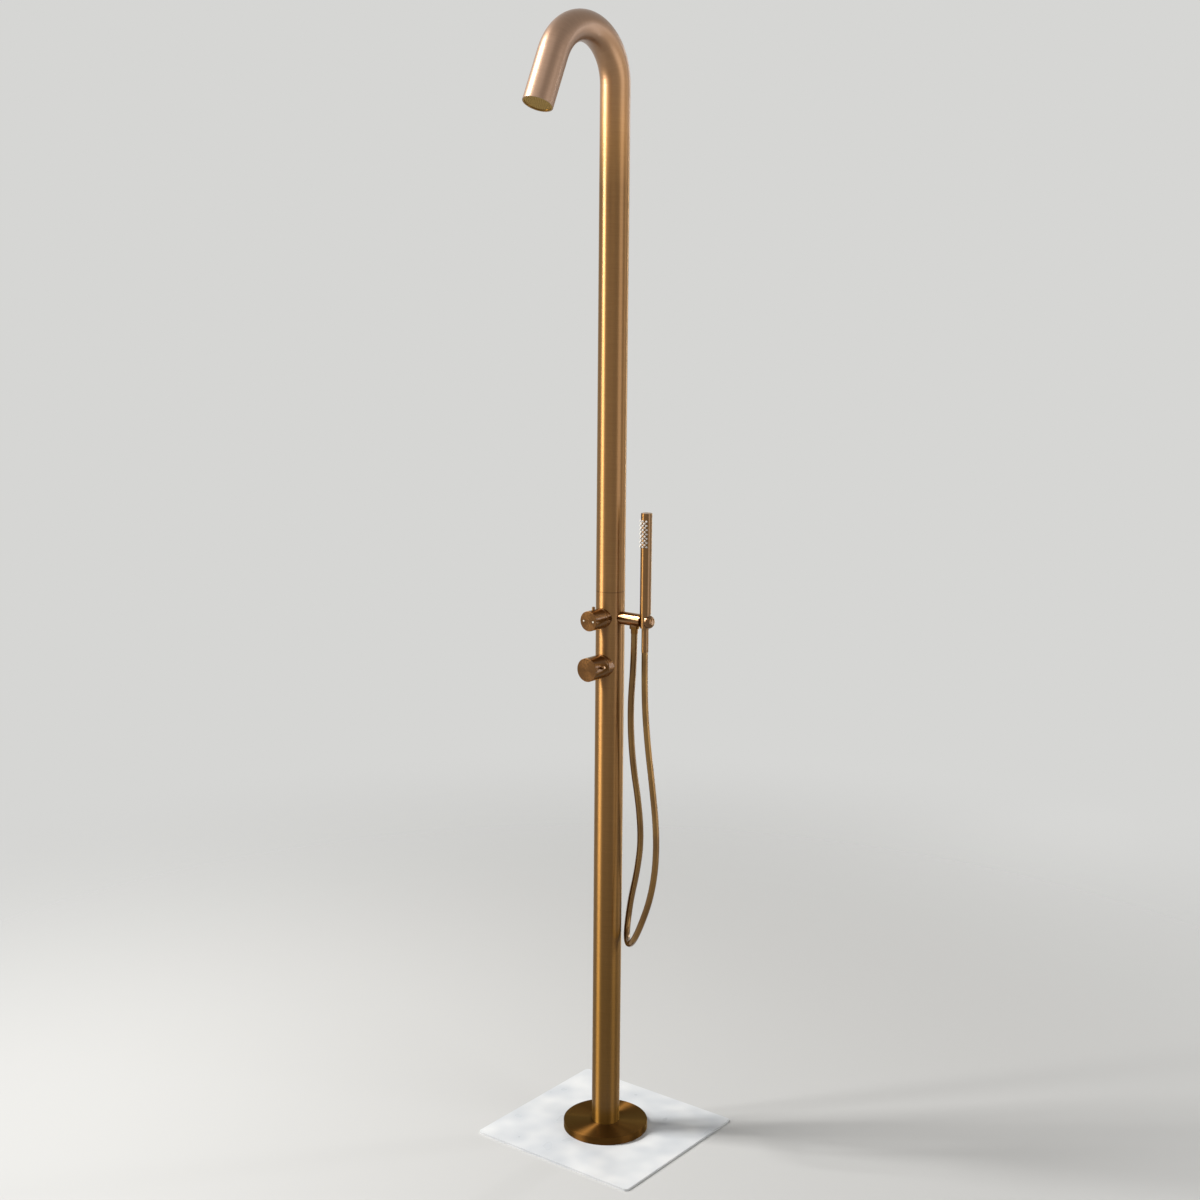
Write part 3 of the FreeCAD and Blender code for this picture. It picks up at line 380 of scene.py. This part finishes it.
def turned_about_x(name, centre, tones, roughness, **settings):
    return brushed(name, lambda f: f.distance(f.y, f.z, centre), lambda f: f.x, tones, roughness,
                   **settings)


def turned_about_y(name, centre, tones, roughness, **settings):
    return brushed(name, lambda f: f.distance(f.x, f.z, centre), lambda f: f.y, tones, roughness,
                   **settings)


def turned_about_z(name, centre, tones, roughness, **settings):
    return brushed(name, lambda f: f.distance(f.x, f.y, centre), lambda f: f.z, tones, roughness,
                   **settings)


def gooseneck_run(finish):
    """Distance along the centre line from the middle of the bend, negative on the column's side."""
    half = bend_angle / 2
    behind = finish.y + bend_radius
    above = finish.z - bend_height
    # the bend's angle is measured from its middle, so that it doesn't jump on the spout
    outward = behind * math.cos(half) + above * math.sin(half)
    sideways = above * math.cos(half) - behind * math.sin(half)
    angle = finish.reckon("ARCTAN2", sideways, outward)
    held = finish.node("ShaderNodeClamp", inputs={0: angle, 1: -half, 2: half})
    cosine = finish.reckon("COSINE", held)
    sine = finish.reckon("SINE", held)
    return held * bend_radius + cosine * sideways - sine * outward


column_axis = (0.0, 0.0)
arm_axis = (0.0, diverter_centre.z)

# The column and gooseneck carry a fine line of painted shade at the column's top.
tube_settings = {"constants": {**upright_strokes, **lacquer(0.35, 0.25)}, "seam_shade": column_high.z}
knob_settings = {"constants": lacquer(0.3, 0.12), "rings": True}

# The column's foot tones are painted reflection of a dark green ground, fading out by height.
column_bronze = turned_about_z("brushed_bronze_column", column_axis, foot_painted_reflection_tones, 0.5,
                               onward=(bronze_tones, painted_reflection_heights), **tube_settings)
# The gooseneck goes over to the painted sky reflection towards the spout.
gooseneck_bronze = brushed("brushed_bronze_gooseneck", lambda f: 0.0, gooseneck_run, bronze_tones, 0.5,
                           onward=(spout_painted_sky_tones, painted_sky_span), bend=strokes_to_bend, **tube_settings)
# The cover's dark tones are painted shade.
cover_bronze = turned_about_z("brushed_bronze_cover", column_axis, cover_painted_shade_tones, 0.46,
                              constants=upright_strokes)
# Both controls carry the knobs' partly painted dark tones.
mixer_bronze = turned_about_y("brushed_bronze_mixer", (mixer_centre.x, mixer_centre.z), knob_brown_and_painted_shade_tones, 0.36,
                              **knob_settings)
diverter_bronze = turned_about_y("brushed_bronze_diverter", (diverter_centre.x, diverter_centre.z),
                                 knob_brown_and_painted_shade_tones, 0.36, **knob_settings)
arm_bronze = turned_about_x("brushed_bronze_arm", arm_axis, arm_tones, 0.2, constants=lacquer(0.55, 0.1))
# The cradle darkens into painted shade towards its rounded end.
cradle_bronze = turned_about_x("brushed_bronze_cradle", arm_axis, arm_tones, 0.23,
                               constants=lacquer(0.5, 0.1), onward=(ball_painted_shade_tones, painted_shade_span))
handset_bronze = turned_about_z("brushed_bronze_handset", (handset_centre.x, handset_centre.y), trim_tones,
                                0.4, constants={**upright_strokes, **lacquer(0.7, 0.15)})
fitting_bronze = turned_about_z("bronze_hose_fittings", (hose_nut_centre.x, hose_nut_centre.y), trim_tones,
                                0.2)
spray_bronze = brushed("satin_spray_face", lambda f: f.x, lambda f: f.y, spray_tones, 0.3,
                       pitch=0.8 * MM, depth=0.02 * MM)


# Finishes of the other materials

stainless_steel = turned_about_z("plain_stainless_steel", column_axis, steel_tones, 0.3,
                                 constants=plain_edge)
raw_brass = turned_about_z("machined_brass", column_axis, brass_tones, 0.28)


def mottled(name, tones, roughness, spread, grain_size, depth):
    """A cast, moulded or painted surface with soft clouds and a fine grain."""
    finish = Finish(name, {})
    cloud = finish.grain(finish.place, scale=1 / spread, detail=1.0)
    speck = finish.grain(finish.place, scale=1 / grain_size)
    mask = finish.steps(cloud * 0.94 + speck * 0.06, 0.2, 0.8)
    finish.drive("Base Color", finish.shade(mask, tones))
    finish.drive("Roughness", roughness + (cloud - 0.5) * 0.15)
    finish.relief(speck, depth)
    return finish.material


# The plate's cloudy mottling is partly its own finish and partly painted reflection of a cloudy sky, bluish
# in the darker tone.
plate_paint = mottled("pale_plate_paint", (tone(238, 238, 236), tone(200, 204, 208)), roughness=0.3,
                      spread=70 * MM, grain_size=1.5 * MM, depth=0.02 * MM)
black_rubber = mottled("black_rubber", (tone(34, 34, 34), tone(22, 22, 22)), roughness=0.7,
                       spread=8 * MM, grain_size=0.6 * MM, depth=0.02 * MM)
cream_silicone = mottled("cream_silicone", (tone(250, 245, 236), tone(240, 232, 222)), roughness=0.45,
                         spread=5 * MM, grain_size=0.4 * MM, depth=0.01 * MM)
grey_plastic = mottled("grey_moulded_plastic", (tone(158, 158, 154), tone(136, 136, 132)), roughness=0.5,
                       spread=10 * MM, grain_size=0.5 * MM, depth=0.01 * MM)
mark_enamel = mottled("pale_mark_enamel", (tone(242, 232, 212), tone(228, 216, 194)), roughness=0.35,
                      spread=3 * MM, grain_size=0.4 * MM, depth=0.005 * MM)


def hose_finish():
    """A smooth bronze-coloured sheath with a faint spiral from the braid below it."""
    finish = Finish("bronze_hose_sheath", {"Metallic": 0.9, **lacquer(0.4, 0.14)})
    turn, run = finish.split(finish.node("ShaderNodeUVMap", {"uv_map": "along"}))[:2]
    spiral = finish.reckon("SINE", (run * braid_turns_per_metre + turn) * math.tau)
    cloud = finish.grain(finish.place, scale=hose_clouds_per_metre, detail=3.0)
    mask = finish.steps(cloud + spiral * 0.04, 0.35, 0.65)
    finish.drive("Base Color", finish.shade(mask, hose_tones))
    finish.drive("Roughness", 0.26 + (cloud - 0.5) * 0.12)
    finish.relief(spiral, 0.002 * MM)
    return finish.material


finishes = {
    "column_tube": column_bronze,
    "gooseneck_tube": gooseneck_bronze,
    "flange_cover": cover_bronze,
    "outlet_arm": arm_bronze,
    "handset_cradle": cradle_bronze,
    "hose_nut": fitting_bronze,
    "hose_ferrule": fitting_bronze,
    "mixer_boss": mixer_bronze,
    "mixer_knob": mixer_bronze,
    "mixer_lever": arm_bronze,
    "diverter_boss": diverter_bronze,
    "diverter_knob": diverter_bronze,
    "diverter_lever": handset_bronze,
    "hose_connector": handset_bronze,
    "swivel_insert": handset_bronze,
    "handset_inlet": handset_bronze,
    "handset_tube": handset_bronze,
    "handset_cap": handset_bronze,
    "spray_ring": spray_bronze,
}
slot_finishes = {
    "spray_bronze": spray_bronze,
    "plate_paint": plate_paint,
    "stainless": stainless_steel,
    "raw_brass": raw_brass,
    "black_rubber": black_rubber,
    "cream_silicone": cream_silicone,
    "grey_plastic": grey_plastic,
    "bronze": column_bronze,
    "hose_sheath": fitting_bronze,
}
for part in frame["record"]["subparts"]:
    shown = nodes[part["node"]]
    shown.data.materials.clear()
    shown.data.materials.append(finishes.get(part["node"], slot_finishes[part["material_slot"]]))


# Meshes

crease_angle = math.radians(35)


def settled_mesh(source):
    """The plain mesh that an object's curve or modifiers come to."""
    graph = bpy.context.evaluated_depsgraph_get()
    return bpy.data.meshes.new_from_object(source.evaluated_get(graph))


def lofted_mesh(name, stacks):
    """Closed forms, one for each stack of rings, capped at both ends."""
    shape = bmesh.new()
    for stack in stacks:
        rings = [[shape.verts.new(place) for place in ring] for ring in stack]
        for lower, upper in zip(rings, rings[1:]):
            for index in range(len(lower)):
                after = (index + 1) % len(lower)
                shape.faces.new((lower[index], lower[after], upper[after], upper[index]))
        shape.faces.new(rings[0])
        shape.faces.new(rings[-1])
    bmesh.ops.recalc_face_normals(shape, faces=shape.faces)
    mesh = bpy.data.meshes.new(name)
    shape.to_mesh(mesh)
    shape.free()
    return mesh


def ring(centre, radius, first, second, sides):
    """Places round a circle that lies in the plane of two directions."""
    turns = [math.tau * index / sides for index in range(sides)]
    return [centre + radius * (math.cos(turn) * first + math.sin(turn) * second) for turn in turns]


def place_piece(name, mesh, finish):
    piece = bpy.data.objects.new(name, mesh)
    bpy.context.scene.collection.objects.link(piece)
    mesh.materials.clear()
    mesh.materials.append(finish)
    mesh.shade_smooth()
    mesh.set_sharp_from_angle(angle=crease_angle)
    return piece


# Hose

def hose_line():
    """The hose's centre line, smooth through the points of its route."""
    curve = bpy.data.curves.new("hose_line", "CURVE")
    curve.dimensions = "3D"
    curve.resolution_u = 12
    spline = curve.splines.new("NURBS")
    spline.points.add(len(hose_route) - 1)
    for point, place in zip(spline.points, hose_route):
        point.co = (*place, 1.0)
    spline.order_u = 3
    spline.use_endpoint_u = True
    source = bpy.data.objects.new("hose_line", curve)
    bpy.context.scene.collection.objects.link(source)
    line = settled_mesh(source)
    bpy.data.objects.remove(source)
    return [vertex.co.copy() for vertex in line.vertices]


def hose_mesh(line):
    """A tube round the line, with the turn round it and the distance along it as its own map."""
    rings = []
    side = rightward
    for index, place in enumerate(line):
        way = (line[min(index + 1, len(line) - 1)] - line[max(index - 1, 0)]).normalized()
        side = (side - way * side.dot(way)).normalized()
        rings.append(ring(place, hose_diameter / 2, side, way.cross(side), hose_sides))
    mesh = lofted_mesh("hose_sheath", [rings])
    runs = [0.0]
    for before, after in zip(line, line[1:]):
        runs.append(runs[-1] + (after - before).length)
    along = mesh.uv_layers.new(name="along")
    for face in mesh.polygons:
        sides = [mesh.loops[loop].vertex_index % hose_sides for loop in face.loop_indices]
        for loop, side_index in zip(face.loop_indices, sides):
            closing = hose_sides if side_index == 0 and hose_sides - 1 in sides else side_index
            along.data[loop].uv = (closing / hose_sides, runs[mesh.loops[loop].vertex_index // hose_sides])
    return mesh, runs[-1]


hose_path = hose_line()
hose_tube, hose_length = hose_mesh(hose_path)
hose = place_piece("hose_sheath", hose_tube, hose_finish())
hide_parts("shower_hose")

# Where the hose would go over from the column's fitting to the handset: a slanted band between the two
# legs, so that the upper end of each leg would stay with its own fitting.
over_slope = 0.1
leg_gap = hose_route[-1][0] - hose_route[0][0] - hose_diameter
leg_drop = hose_route[0][2] - hose_route[-1][2]
over_width = leg_gap - leg_drop * over_slope
over_start = Vector(hose_route[0]) + Vector((hose_diameter / 2, 0.0, 0.0))
over_way = Vector((1.0, 0.0, over_slope))
over_end = over_start + over_way * (over_width / over_way.length_squared)
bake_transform(hose)


# Nozzles

def nozzle_mesh():
    """A tapered nozzle with a rounded tip and a small hole, standing along -Y from the origin."""
    length = handset_radius + nozzle_proud - nozzle_root
    # distances from the root and radii, out along the wall, over the tip and down into the hole
    profile = [
        (0.0, nozzle_base),
        (length - nozzle_shoulder, nozzle_tip),
        (length - nozzle_edge, nozzle_tip * 0.85),
        (length, nozzle_tip * 0.6),
        (length - nozzle_edge, nozzle_hole),
        (length - nozzle_hole_depth, nozzle_hole * 0.8),
    ]
    return lofted_mesh("nozzle", [[ring(Vector((0.0, -reach, 0.0)), radius, rightward, upward, nozzle_sides)
                                   for reach, radius in profile]])


def strip_mesh(low, high):
    """The curved strip that carries the nozzles."""
    rows = []
    for index in range(nozzle_strip_steps + 1):
        turn = nozzle_strip_angle * (2 * index / nozzle_strip_steps - 1)
        outward = Vector((math.sin(turn), -math.cos(turn), 0.0))
        corners = ((nozzle_strip_inner, low), (nozzle_strip_outer, low), (nozzle_strip_outer, high),
                   (nozzle_strip_inner, high))
        rows.append([Vector((handset_centre.x, handset_centre.y, height)) + radius * outward
                     for radius, height in corners])
    return lofted_mesh("nozzle_strip_base", [rows])


class Geometry(Tree):
    """A Geometry Nodes tree with named sizes."""

    def __init__(self, name, sizes):
        super().__init__(bpy.data.node_groups.new(name, "GeometryNodeTree"))
        face = self.tree.interface
        face.new_socket("Geometry", in_out="INPUT", socket_type="NodeSocketGeometry")
        face.new_socket("Geometry", in_out="OUTPUT", socket_type="NodeSocketGeometry")
        for size, kind in sizes.items():
            face.new_socket(size, in_out="INPUT", socket_type=kind)
        self.inside = self.tree.nodes.new("NodeGroupInput")
        self.outside = self.tree.nodes.new("NodeGroupOutput")

    def size(self, name):
        """What comes in under a name."""
        return Wire(self, self.inside.outputs[name])

    def finish(self, geometry, material):
        real = self.node("GeometryNodeRealizeInstances", inputs={0: geometry})
        dressed = self.node("GeometryNodeSetMaterial", inputs={0: real, 2: material})
        self.feed(self.outside.inputs[0], dressed)

    def apply(self, mesh, values):
        """Runs the tree on a mesh and returns the plain mesh that it makes."""
        source = bpy.data.objects.new("tree_source", mesh)
        bpy.context.scene.collection.objects.link(source)
        modifier = source.modifiers.new("rows", "NODES")
        modifier.node_group = self.tree
        for item in self.tree.interface.items_tree:
            if item.in_out == "INPUT" and item.name in values:
                modifier[item.identifier] = values[item.name]
        made = settled_mesh(source)
        bpy.data.objects.remove(source)
        return made


def nozzle_tree():
    """Stands a nozzle at each place of the staggered rows round the handset's front."""
    tree = Geometry("nozzle_rows", {
        "Columns": "NodeSocketInt", "Rows": "NodeSocketInt", "Pitch": "NodeSocketFloat",
        "Step": "NodeSocketFloat", "Radius": "NodeSocketFloat", "First Height": "NodeSocketFloat",
        "Axis": "NodeSocketVector", "Nozzle": "NodeSocketObject",
    })
    grid = tree.node("GeometryNodeMeshGrid", inputs={"Vertices X": tree.size("Columns"),
                                                     "Vertices Y": tree.size("Rows")})
    index = tree.node("GeometryNodeInputIndex")
    column = tree.reckon("FLOOR", index / tree.size("Rows"))
    row = index - column * tree.size("Rows")
    # every second column sits half a pitch lower and has one nozzle less
    lowered = tree.reckon("MODULO", column, 2.0)
    turn = (column - (tree.size("Columns") - 1.0) * 0.5) * tree.size("Step")
    height = tree.size("First Height") - (row + lowered * 0.5) * tree.size("Pitch")
    # the turn is measured from the handset's front, which faces -Y
    sideways = tree.reckon("SINE", turn) * tree.size("Radius")
    forward = tree.reckon("COSINE", turn) * tree.size("Radius")
    offset = tree.join(sideways, forward * -1.0, height)
    place = tree.node("ShaderNodeVectorMath", {"operation": "ADD"}, {0: offset, 1: tree.size("Axis")})
    placed = tree.node("GeometryNodeSetPosition", inputs={"Geometry": grid, "Position": place})
    past_end = tree.node("FunctionNodeCompare", {"data_type": "FLOAT", "operation": "GREATER_THAN"},
                         {0: row + lowered, 1: tree.size("Rows") - 0.5})
    kept = tree.node("GeometryNodeDeleteGeometry", {"domain": "POINT"},
                     {"Geometry": placed, "Selection": past_end})
    nozzle = tree.node("GeometryNodeObjectInfo", inputs={0: tree.size("Nozzle")}, output="Geometry")
    stood = tree.node("GeometryNodeInstanceOnPoints",
                      inputs={"Points": kept, "Instance": nozzle, "Rotation": tree.join(z=turn)})
    joined = tree.tree.nodes.new("GeometryNodeJoinGeometry")
    for shape in (tree.size("Geometry"), stood):
        tree.feed(joined.inputs[0], shape)
    tree.finish(Wire(tree, joined.outputs[0]), cream_silicone)
    return tree


def make_nozzle_strip():
    top = handset_top - nozzle_start
    low = top - (nozzle_rows - 1) * nozzle_pitch - nozzle_strip_margin
    nozzle = bpy.data.objects.new("nozzle_pattern", nozzle_mesh())
    bpy.context.scene.collection.objects.link(nozzle)
    mesh = nozzle_tree().apply(strip_mesh(low, top + nozzle_strip_margin), {
        "Columns": nozzle_columns, "Rows": nozzle_rows, "Pitch": nozzle_pitch, "Step": nozzle_step,
        "Radius": nozzle_root, "First Height": top,
        "Axis": (handset_centre.x, handset_centre.y, 0.0), "Nozzle": nozzle,
    })
    bpy.data.objects.remove(nozzle)
    return place_piece("nozzle_strip_dressed", mesh, cream_silicone)


nozzle_strip = make_nozzle_strip()
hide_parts("nozzle_strip")
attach(nozzle_strip, "handset")


# Marks on the upper control's face

mark_reach = 12 * MM
mark_radius = 1.9 * MM
mark_sides = 28


def make_marks():
    """Two small round inlays, one each side of the middle of the upper control's face."""
    # shares of the radius, and how far each ring stands in front of the face
    profile = ((1.0, -0.2 * MM), (1.0, 0.06 * MM), (0.86, 0.16 * MM), (0.5, 0.2 * MM))
    stacks = []
    for side in (-1, 1):
        centre_x = diverter_centre.x + side * mark_reach
        stacks.append([ring(Vector((centre_x, diverter_face - proud, diverter_centre.z)), mark_radius * out,
                            rightward, upward, mark_sides) for out, proud in profile])
    return place_piece("diverter_marks", lofted_mesh("diverter_marks", stacks), mark_enamel)


marks = make_marks()
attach(marks, "diverter_control")


# Floor, background and light

pale = tone(214, 214, 212)
floor_pale = tone(205, 204, 201)
floor_radius = 6.0
floor_fade_start = 0.7
floor_fade_end = 3.0
room_shown = 1.0
room_lit = 0.06


def make_floor():
    """A round pale floor that fades into the background."""
    mesh = bpy.data.meshes.new("floor")
    shape = bmesh.new()
    bmesh.ops.create_circle(shape, cap_ends=True, segments=96, radius=floor_radius)
    shape.to_mesh(mesh)
    shape.free()
    finish = Finish("pale_floor", {"Base Color": floor_pale, "Roughness": 0.9})
    out = finish.distance(finish.x, finish.y, column_axis)
    fade = finish.node("ShaderNodeMapRange", {"interpolation_type": "SMOOTHSTEP"},
                       {0: out, 1: floor_fade_start, 2: floor_fade_end, 3: 0.0, 4: 1.0})
    clear = finish.node("ShaderNodeBsdfTransparent")
    both = finish.node("ShaderNodeMixShader", inputs={0: fade, 1: Wire(finish, finish.shader.outputs[0]),
                                                      2: clear})
    finish.feed(finish.tree.nodes["Material Output"].inputs["Surface"], both)
    floor = bpy.data.objects.new("floor", mesh)
    mesh.materials.append(finish.material)
    floor.location.z = cad_low.z
    bpy.context.scene.collection.objects.link(floor)


def make_background():
    """Pale all round for what is seen and mirrored, and dimmer as a light."""
    world = bpy.data.worlds.new("pale_room")
    world.use_nodes = True
    bpy.context.scene.world = world
    tree = Tree(world.node_tree)
    path = tree.tree.nodes.new("ShaderNodeLightPath")
    seen = (Wire(tree, path.outputs["Is Camera Ray"]) + Wire(tree, path.outputs["Is Glossy Ray"])
            + Wire(tree, path.outputs["Is Transmission Ray"]))
    shown = tree.node("ShaderNodeBackground", inputs={0: pale, 1: room_shown})
    lit = tree.node("ShaderNodeBackground", inputs={0: pale, 1: room_lit})
    mixed = tree.node("ShaderNodeMixShader", inputs={0: seen, 1: lit, 2: shown})
    tree.feed(tree.tree.nodes["World Output"].inputs["Surface"], mixed)


def make_lamp(name, place, target, width, height, brightness):
    """A rectangular lamp with no colour of its own; brightness is what a mirror would show of it."""
    data = bpy.data.lights.new(name, "AREA")
    data.shape = "RECTANGLE"
    data.size = width
    data.size_y = height
    data.energy = brightness * math.pi * width * height
    lamp = bpy.data.objects.new(name, data)
    lamp.location = place
    lamp.rotation_euler = (Vector(target) - Vector(place)).to_track_quat("-Z", "Y").to_euler()
    lamp.visible_camera = False
    bpy.context.scene.collection.objects.link(lamp)


# Each lamp: name, place, the point it faces, width, height, brightness.
lamps = (
    ("key", (-2.46, -1.54, 4.4), (0.0, 0.0, 1.2), 0.6, 0.6, 125.0),
    ("left_strip", (-2.85, -2.4, 3.0), (0.0, 0.0, 1.6), 0.5, 3.0, 27.0),
    ("front_strip", (-2.38, -3.0, 2.8), (0.0, 0.0, 1.6), 0.3, 2.2, 22.0),
    ("sky", (0.1, -2.0, 4.5), (0.0, -0.2, 2.2), 3.4, 1.5, 0.9),
    ("right_fill", (2.95, 0.3, 1.6), (0.0, 0.0, 1.4), 1.6, 3.0, 1.9),
    ("right_rim", (1.89, 2.33, 1.6), (0.0, 0.0, 1.6), 0.2, 3.2, 7.0),
    ("back_rim", (-0.05, 3.0, 1.6), (0.0, 0.0, 1.6), 0.2, 3.2, 7.0),
)

make_floor()
make_background()
for lamp in lamps:
    make_lamp(*lamp)


# Camera

camera_place = (2.161, -2.867, 1.874)
camera_heading = math.radians(37.35)
camera_pitch = math.radians(-11.03)
camera_roll = math.radians(0.48)
camera_lens = 53.25


def make_camera():
    """Seen from the front right, from above the controls and a little downward."""
    data = bpy.data.cameras.new("camera")
    data.sensor_width = 36.0
    data.lens = camera_lens
    camera = bpy.data.objects.new("camera", data)
    aim = Matrix.Rotation(camera_heading, 4, "Z") @ Matrix.Rotation(math.pi / 2 + camera_pitch, 4, "X")
    camera.matrix_world = Matrix.Translation(camera_place) @ aim @ Matrix.Rotation(camera_roll, 4, "Z")
    bpy.context.scene.collection.objects.link(camera)
    bpy.context.scene.camera = camera


make_camera()
bpy.context.scene.view_settings.view_transform = "Standard"
